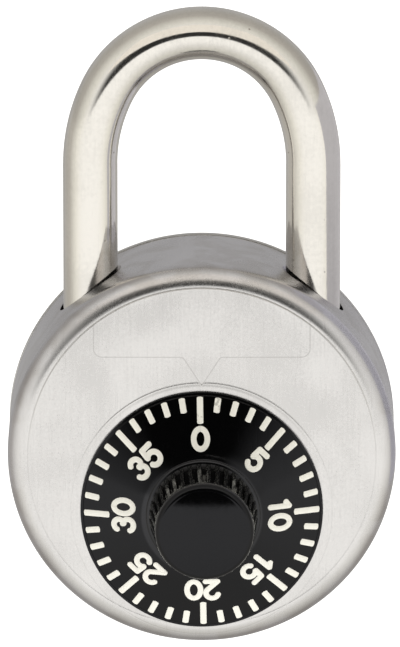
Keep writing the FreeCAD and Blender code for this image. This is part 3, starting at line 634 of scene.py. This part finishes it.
def bow_path(count):
    """Centre line from the heel's end to the toe's end: straight leg, side arc, crown, side arc, leg.

    Returns points (x, z) and the unit directions along the path."""
    heel = leg_heights(shackle_low.z, [groove_low, groove_high])
    pieces = [np.stack([np.full(len(heel), leg_offset), heel], axis=-1)]
    for centre, bend, start, stop in (
            ((leg_offset - side_bend, leg_top), side_bend, 0.0, side_turn),
            ((0.0, crown_up), crown_bend, side_turn, math.pi - side_turn),
            ((side_bend - leg_offset, leg_top), side_bend, math.pi - side_turn, math.pi)):
        angles = np.linspace(start, stop, count, endpoint=False)
        pieces.append(np.array(centre) + bend * np.stack([np.cos(angles), np.sin(angles)], axis=-1))
    toe = np.r_[leg_heights(toe_end, [notch_low, notch_high]), leg_top][::-1]
    pieces.append(np.stack([np.full(len(toe), -leg_offset), toe], axis=-1))
    path = np.concatenate(pieces)
    along = np.gradient(path, axis=0)
    return path, along / np.linalg.norm(along, axis=1)[:, None]


path, along = bow_path(70)
path_length = np.r_[0, np.cumsum(np.hypot(*np.diff(path, axis=0).T))]
section = np.linspace(0, 2 * math.pi, section_count, endpoint=False)
# bending has thinned the bar a little at the crown
crown_share = np.exp(-((path[:, 0] / crown_reach) ** 4)) * (path[:, 1] > leg_top)
flattened = bar_radius * (1 - crown_thinning * crown_share)
# the bar's ends are eased by a chamfer, and the heel's groove is a short step in its radius
from_end = np.minimum(path_length, path_length[-1] - path_length)
radius_share = 1 - leg_chamfer / bar_radius * np.clip(1 - from_end / leg_chamfer, 0, 1)
in_groove = (path[:, 0] > 0) & (path[:, 1] > groove_low) & (path[:, 1] < groove_high)
radius_share = np.where(in_groove, groove_radius / bar_radius, radius_share)
# the toe's notch and ramp are a flat across its inner side, so the section stops at a depth there
toe_leg = (path[:, 0] < 0) & (path[:, 1] < notch_high)
cut_depth = np.where(path[:, 1] > notch_low, notch_depth, np.interp(
    path[:, 1], [toe_end, notch_low], [ramp_depth, notch_depth]))
inner_limit = np.where(toe_leg, cut_depth - bar_radius, -bar_radius)
outward = np.stack([along[:, 1], -along[:, 0]], axis=-1)
out = np.maximum((flattened * radius_share)[:, None] * np.cos(section), inner_limit[:, None])
points = np.stack([path[:, 0][:, None] + out * outward[:, 0][:, None],
                   (bar_radius * radius_share)[:, None] * np.sin(section),
                   path[:, 1][:, None] + out * outward[:, 1][:, None]], axis=-1)
first_cap, last_cap = (np.tile([end[0], 0, end[1]], (1, section_count, 1)) for end in (path[0], path[-1]))
points = np.concatenate([first_cap, points, last_cap])
shackle_material, tree, shader, grain_bump = metal(
    "shackle_nickel", (0.75, 0.73, 0.685), bump=0.000004, Speckle_Size=0.0006, Tint_Depth=0.08,
    Rough_Low=0.08, Rough_High=0.16, Scratches=0.35)
# small rust pits gather in patches
where = add_node(tree, "ShaderNodeTexCoord").outputs["Object"]
cells = add_node(tree, "ShaderNodeTexVoronoi", [("Vector", where), ("Scale", 750.0)])
chosen = add_node(tree, "ShaderNodeSeparateColor", [(0, cells.outputs["Color"])]).outputs[0]
patch = add_node(tree, "ShaderNodeTexNoise", [
    ("Vector", where), ("Scale", 130.0), ("Detail", 1.0)]).outputs[0]
size = calculate(tree, "MULTIPLY", ramp_between(tree, chosen, 0.6, 1.0), ramp_between(tree, patch, 0.4, 0.58))
pit = ramp_between(tree, calculate(tree, "DIVIDE", cells.outputs["Distance"], calculate(
    tree, "MULTIPLY_ADD", size, 0.16, 0.0001)), 1.0, 0.5)
pitted = add_node(tree, "ShaderNodeMix", [(0, calculate(tree, "MULTIPLY", pit, 0.6))], data_type="RGBA")
tree.links.new(shader.inputs["Base Color"].links[0].from_socket, pitted.inputs[6])
pitted.inputs[7].default_value = (0.16, 0.12, 0.09, 1)
tree.links.new(pitted.outputs[2], shader.inputs["Base Color"])
pit_bump = add_node(tree, "ShaderNodeBump", [
    ("Strength", 1.0), ("Distance", 0.00003), ("Height", calculate(tree, "SUBTRACT", 1.0, pit)),
    ("Normal", grain_bump.outputs[0])])
tree.links.new(pit_bump.outputs[0], shader.inputs["Normal"])
shackle_bar = mesh_piece("shackle_bar", points, grid_faces(len(points), section_count), shackle_material)
weld_poles(shackle_bar.data)
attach(shackle_bar, "shackle")
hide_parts("shackle")


# ---- Dial -----------------------------------------------------------------------------------------
# The dial is one moulding of glossy black plastic: a sloping skirt with a bevelled rim and a tapered
# knob with flutes for the fingers, moulded round the end of the steel spindle.

dial_radius = (dial_high.x - dial_low.x) / 2
spindle_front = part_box("dial_spindle")[0].y
spindle_radius, collar_radius = 0.003, 0.0042
collar_front, collar_back = spindle_front + 0.001, spindle_front + 0.004
dial_back = dial_high.y
rim_front = dial_back - 0.0004
skirt_low = rim_front - 0.00022
skirt_outer = dial_radius - 0.00044
skirt_high = skirt_low - 0.00335
knob_foot, knob_low_radius, knob_high_radius, knob_face_radius = 0.0079, 0.00755, 0.00693, 0.00604
knob_dome = 0.00056
knob_front = dial_low.y + knob_dome
band_start = knob_front + 0.0013
flute_low = skirt_high - 0.0005
flute_depth, flute_rise, flute_fall = 0.0004, 0.0009, 0.0005
knob_aside, knob_lean = 0.00022, 0.0002
flute_count = 36


def skirt_y(radius):
    """y of the sloping skirt at a radius from the dial's axis."""
    return skirt_low + (skirt_high - skirt_low) * (skirt_outer - radius) / (skirt_outer - knob_foot)


# the bore round the spindle's end, the rim, the skirt, the knob's foot, sides, round edge and face
profile = [(0.0, spindle_front), (spindle_radius, spindle_front), (spindle_radius, collar_front),
           (collar_radius, collar_front), (collar_radius, collar_back),
           (spindle_radius, collar_back), (spindle_radius, dial_back)]
bore_rows = len(profile)
profile += [(dial_radius - 0.0001, dial_back), (dial_radius, dial_back - 0.0001),
            (dial_radius, rim_front + 0.00005), (dial_radius - 0.00004, rim_front),
            (dial_radius - 0.00034, rim_front - 0.00005)]
profile += [(radius, skirt_y(radius)) for radius in np.linspace(skirt_outer, knob_foot + 0.00015, 14)]
foot = [(0.09, 0.035), (0.05, 0.01), (0.03, -0.06), (0.02, -0.13), (-0.02, -0.2), (-0.08, -0.26),
        (-0.16, -0.31), (-0.28, -0.36), (-0.5, -0.44)]
profile += [(knob_foot + across / 1000, skirt_high + rise / 1000) for across, rise in foot]
fluted = np.linspace(flute_low - 0.0001, band_start, 26)
knob_taper = (knob_high_radius - knob_low_radius) / (flute_low - band_start)
profile += [(knob_low_radius + knob_taper * (flute_low - y), y) for y in fluted]
band_turns = np.radians(np.linspace(4, 70, 9))
profile += [(knob_face_radius + (knob_high_radius - knob_face_radius) * math.cos(turn),
             band_start + (knob_front - band_start) * math.sin(turn)) for turn in band_turns]
profile += [(knob_face_radius + 0.00012, knob_front + 0.00001), (knob_face_radius, knob_front)]
profile += [(knob_face_radius * share, knob_front - knob_dome * (1 - share ** 2))
            for share in np.linspace(0.97, 0, 16)]
flute_turns = np.linspace(0, 2 * math.pi, flute_count * 20, endpoint=False)
radii, heights = np.array(profile).T
outside = np.arange(len(profile)) >= bore_rows
in_flutes = outside * smooth((flute_low - heights) / flute_rise)
in_flutes = in_flutes * smooth((heights - band_start) / flute_fall)
# a flute is a round valley with a ridge about as wide beside it; the knob stands a little off
# the dial's axis, up and aside, and leans a little more aside towards its face
valley = smooth(1.6 * np.cos(flute_turns * flute_count) + 0.4)
depth_now = flute_depth * in_flutes[:, None] * valley[None, :]
forward = np.clip((skirt_high - heights) / (skirt_high - dial_low.y), 0, 1)
off_axis = outside * knob_aside * smooth((0.0092 - radii) / 0.0012)
aside = off_axis + outside * knob_lean * forward
risen = off_axis * (1 - forward)
reach = radii[:, None] - depth_now
points = np.stack([aside[:, None] + reach * np.sin(flute_turns),
                   np.broadcast_to(heights[:, None], reach.shape),
                   dial_up + risen[:, None] + reach * np.cos(flute_turns)], axis=-1)

dial_material = bpy.data.materials.new("dial_black")
dial_material.use_nodes = True
tree = dial_material.node_tree
shader = tree.nodes["Principled BSDF"]
shader.inputs["Specular Tint"].default_value = (0.92, 0.935, 1.0, 1)
dial_grain = place_group(tree, metal_grain(), Speckle_Size=0.0005, Tint_Depth=0.5, Rough_Low=0.04,
                         Rough_High=0.12, Scratches=0.4)
where = add_node(tree, "ShaderNodeTexCoord").outputs["Object"]
about_dial = add_node(tree, "ShaderNodeMapping", [
    ("Vector", where), ("Location", (0, -1000 * skirt_high, -1000 * dial_up)),
    ("Scale", (1000, 1000, 1000))]).outputs[0]
across, ahead, up = add_node(tree, "ShaderNodeSeparateXYZ", [(0, about_dial)]).outputs
# painted highlight: pale streaks along the ridges stand in for their sheen, and the streaks are rougher too
turn_about = calculate(tree, "ARCTAN2", across, up)
streak_at = add_node(tree, "ShaderNodeCombineXYZ", [
    (0, calculate(tree, "MULTIPLY", turn_about, 30.0)),
    (1, calculate(tree, "MULTIPLY", ahead, 0.45)), (2, 0.0)]).outputs[0]
streak = add_node(tree, "ShaderNodeTexNoise", [
    ("Vector", streak_at), ("Scale", 1.6), ("Detail", 3.0), ("Roughness", 0.7)]).outputs[0]
on_flutes = calculate(tree, "MULTIPLY", ramp_between(tree, ahead, -0.4, -0.9),
                      ramp_between(tree, ahead, -7.9, -7.2))
in_valley = add_node(tree, "ShaderNodeAttribute", attribute_name="valley").outputs["Fac"]
streak = calculate(tree, "MULTIPLY", ramp_between(tree, streak, 0.42, 0.62), on_flutes)
streak = calculate(tree, "MULTIPLY", streak, calculate(tree, "SUBTRACT", 1.0, in_valley))
painted_ridge_highlight = add_node(tree, "ShaderNodeMix", [(0, calculate(tree, "MULTIPLY", streak, 0.6))], data_type="RGBA")
tree.links.new(tinted(tree, (0.0012, 0.0012, 0.0013), dial_grain.outputs["Tint"]), painted_ridge_highlight.inputs[6])
painted_ridge_highlight.inputs[7].default_value = (0.034, 0.034, 0.031, 1)
tree.links.new(painted_ridge_highlight.outputs[2], shader.inputs["Base Color"])
streaked_rough = calculate(tree, "MULTIPLY_ADD", streak, 0.3, dial_grain.outputs["Rough"])
tree.links.new(streaked_rough, shader.inputs["Roughness"])
# painted highlight: the knob's sides reflect more, which brightens their highlights
from_dial = add_node(tree, "ShaderNodeCombineXYZ", [(0, across), (1, up)]).outputs[0]
from_dial = add_node(tree, "ShaderNodeVectorMath", [(0, from_dial)], operation="LENGTH").outputs["Value"]
brightened_knob_sides = calculate(tree, "MULTIPLY", ramp_between(tree, from_dial, 8.6, 8.2),
                    ramp_between(tree, ahead, -8.3, -7.9))
ior_with_painted_light = calculate(tree, "MULTIPLY_ADD", brightened_knob_sides, 0.17, 1.367)
# painted shade: the dial's rim and the knob's valleys reflect less, standing in for the shade in the gap
# round the dial and in the valleys
ior_with_painted_light = calculate(tree, "SUBTRACT", ior_with_painted_light, ramp_between(tree, from_dial, 17.1, 17.25, 0.0, 0.25))
ior_with_painted_light = calculate(tree, "SUBTRACT", ior_with_painted_light, calculate(tree, "MULTIPLY", in_valley, 0.38))
tree.links.new(ior_with_painted_light, shader.inputs["IOR"])
dial_bump = add_node(tree, "ShaderNodeBump", [
    ("Strength", 1.0), ("Distance", 0.000004), ("Height", dial_grain.outputs["Height"])])
tree.links.new(dial_bump.outputs[0], shader.inputs["Normal"])
dial_moulding = mesh_piece("dial_moulding", points, grid_faces(len(points), len(flute_turns)), dial_material)
in_valleys = dial_moulding.data.attributes.new("valley", "FLOAT", "POINT")
in_valleys.data.foreach_set("value", (in_flutes[:, None] * valley[None, :]).ravel())
weld_poles(dial_moulding.data)
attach(dial_moulding, "dial")
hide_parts("dial")


# ---- Dial marks -----------------------------------------------------------------------------------
# Forty divisions and a number at every fifth are sunk in the skirt and filled with cream-white
# enamel, wiped nearly level with the plastic.

mark_lift, mark_sink = 0.00004, 0.00010
tick_outer, tick_short, tick_long = 0.0162, 0.01435, 0.0128
tick_half, number_radius = 0.00043, 0.01085
stroke_half = 0.00039
divisions, numbered = 40, 5
rest_turn = math.radians(0.9)


def stroke(path, half, turn, cap=1.0):
    """Raised ribbon along a flat path, with rounded ends, turned to its place on the skirt.

    The section is a low arch of the half width; at each end the width falls as a quarter ellipse
    over cap times the half width."""
    path = np.asarray(path, float)
    steps = np.r_[0, np.cumsum(np.hypot(*np.diff(path, axis=0).T))]
    fine = np.linspace(0, steps[-1], 40)
    ends = np.sin(np.linspace(0, math.pi / 2, 7)) * cap * half
    fine = np.concatenate([ends - ends[-1], fine[1:-1], steps[-1] - (ends - ends[-1])[::-1]])
    centre = np.stack([np.interp(fine, steps, path[:, axis]) for axis in (0, 1)], axis=-1)
    first = (path[1] - path[0]) / np.linalg.norm(path[1] - path[0])
    last = (path[-1] - path[-2]) / np.linalg.norm(path[-1] - path[-2])
    centre[fine < 0] = path[0] + first * fine[fine < 0][:, None]
    centre[fine > steps[-1]] = path[-1] + last * (fine[fine > steps[-1]] - steps[-1])[:, None]
    from_tip = np.minimum(fine - fine[0], fine[-1] - fine) / (cap * half)
    width = half * np.sqrt(1 - np.clip(1 - from_tip, 0, 1) ** 2)
    way = np.gradient(centre, axis=0)
    way /= np.linalg.norm(way, axis=1)[:, None]
    normal = np.stack([-way[:, 1], way[:, 0]], axis=-1)
    reach = np.array([-1.0, -0.86, 0.0, 0.86, 1.0, 1.0, -1.0])
    lift = np.array([0.0, 0.8, 1.0, 0.8, 0.0, -1.0, -1.0])
    flat = centre[:, None, :] + normal[:, None, :] * (width[:, None] * reach)[:, :, None]
    across = flat[..., 0] * math.cos(turn) + flat[..., 1] * math.sin(turn)
    up = -flat[..., 0] * math.sin(turn) + flat[..., 1] * math.cos(turn)
    raised = np.where(lift > 0, lift * mark_lift, lift * mark_sink)
    return np.stack([across, skirt_y(np.hypot(across, up)) - raised[None, :], dial_up + up], axis=-1)


def arc(centre, radii, start, stop):
    """Points of an elliptical arc between two angles in degrees."""
    angles = np.radians(np.linspace(start, stop, 24))
    return np.stack([centre[0] + radii[0] * np.cos(angles), centre[1] + radii[1] * np.sin(angles)], axis=-1)


# strokes of each digit in millimetres about its centre; with the strokes' width it is 3.4 mm tall
digits = {
    "0": [arc((0, 0), (0.95, 1.33), 90, 450)],
    "1": [[(0.28, -1.3), (0.28, 1.3)], [(0.28, 1.28), (-0.3, 0.86)]],
    "2": [np.concatenate([arc((0, 0.52), (0.86, 0.84), 165, -38), [(-0.78, -1.34)]]),
          [(-0.78, -1.34), (0.92, -1.34)]],
    "3": [arc((-0.02, 0.66), (0.76, 0.69), 158, -75), arc((-0.02, -0.6), (0.84, 0.75), 80, -160)],
    "5": [[(0.78, 1.34), (-0.62, 1.34)], [(-0.62, 1.34), (-0.72, 0.18)],
          arc((-0.02, -0.45), (0.88, 0.88), 140, -150)],
}
advance = 0.00255
strokes = []
for number in range(divisions):
    turn = 2 * math.pi * number / divisions - rest_turn
    inner = tick_long if number % numbered == 0 else tick_short
    strokes.append(stroke([(0, inner + tick_half * 0.4), (0, tick_outer)], tick_half, turn, cap=0.4))
    if number % numbered == 0:
        text = str(number)
        for place, digit in enumerate(text):
            shift = (place - (len(text) - 1) / 2) * advance
            for line in digits[digit]:
                shifted = np.asarray(line) * 0.001 + (shift, number_radius)
                strokes.append(stroke(shifted, stroke_half, turn))
faces = []
offset = 0
for one in strokes:
    rows, columns = one.shape[:2]
    faces.append(grid_faces(rows, columns) + offset)
    offset += rows * columns
enamel = bpy.data.materials.new("mark_enamel")
enamel.use_nodes = True
tree = enamel.node_tree
shader = tree.nodes["Principled BSDF"]
enamel_grain = place_group(
    tree, metal_grain(), Speckle_Size=0.0006, Tint_Depth=0.05, Rough_Low=0.35, Rough_High=0.6, Scratches=0.2)
# the enamel has lost small chips by the zero
where = add_node(tree, "ShaderNodeTexCoord").outputs["Object"]
chips = add_node(tree, "ShaderNodeTexNoise", [
    ("Vector", where), ("Scale", 1500.0), ("Detail", 2.0)]).outputs[0]
worn = add_node(tree, "ShaderNodeTexNoise", [("Vector", where), ("Scale", 150.0), ("Detail", 1.0)]).outputs[0]
at_zero = add_node(tree, "ShaderNodeVectorMath", [
    (0, where), (1, (-0.001, face_y, dial_up + 0.0155))], operation="DISTANCE").outputs["Value"]
worn = calculate(tree, "MULTIPLY", ramp_between(tree, worn, 0.42, 0.56),
                 ramp_between(tree, at_zero, 0.0045, 0.002))
chipped = calculate(tree, "MULTIPLY", ramp_between(tree, chips, 0.56, 0.62), worn)
coated = add_node(tree, "ShaderNodeMix", [(0, chipped)], data_type="RGBA")
tree.links.new(tinted(tree, (0.96, 0.95, 0.87), enamel_grain.outputs["Tint"]), coated.inputs[6])
coated.inputs[7].default_value = (0.02, 0.02, 0.018, 1)
tree.links.new(coated.outputs[2], shader.inputs["Base Color"])
tree.links.new(enamel_grain.outputs["Rough"], shader.inputs["Roughness"])
dial_marks = mesh_piece("dial_marks", np.concatenate([one.reshape(-1, 3) for one in strokes]),
                        np.concatenate(faces), enamel, sharp_angle=60)
weld_poles(dial_marks.data)
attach(dial_marks, "dial")


# ---- Pieces inside --------------------------------------------------------------------------------
# The liner, plate, guides, posts, wheels and lever are carried over as they are: zinc-plated and
# bright steel pieces, brass wheels and a brass bushing, and springs of dark drawn wire.

inside_finishes = {
    "inner_steel": ((0.60, 0.60, 0.575), 0.3, 0.5),
    "post_steel": ((0.68, 0.68, 0.67), 0.2, 0.35),
    "spring_steel": ((0.36, 0.36, 0.37), 0.25, 0.4),
    "brass": ((0.80, 0.62, 0.30), 0.2, 0.35),
    "wheel_brass": ((0.76, 0.58, 0.28), 0.25, 0.45),
}
for finish, (colour, low, high) in inside_finishes.items():
    material, *_ = metal(finish, colour, Speckle_Size=0.0005, Tint_Depth=0.2, Rough_Low=low, Rough_High=high)
    for entry in frame["record"]["subparts"]:
        if entry["material_slot"] == finish:
            node = frame["nodes"][entry["node"]]
            node.data.materials.clear()
            node.data.materials.append(material)
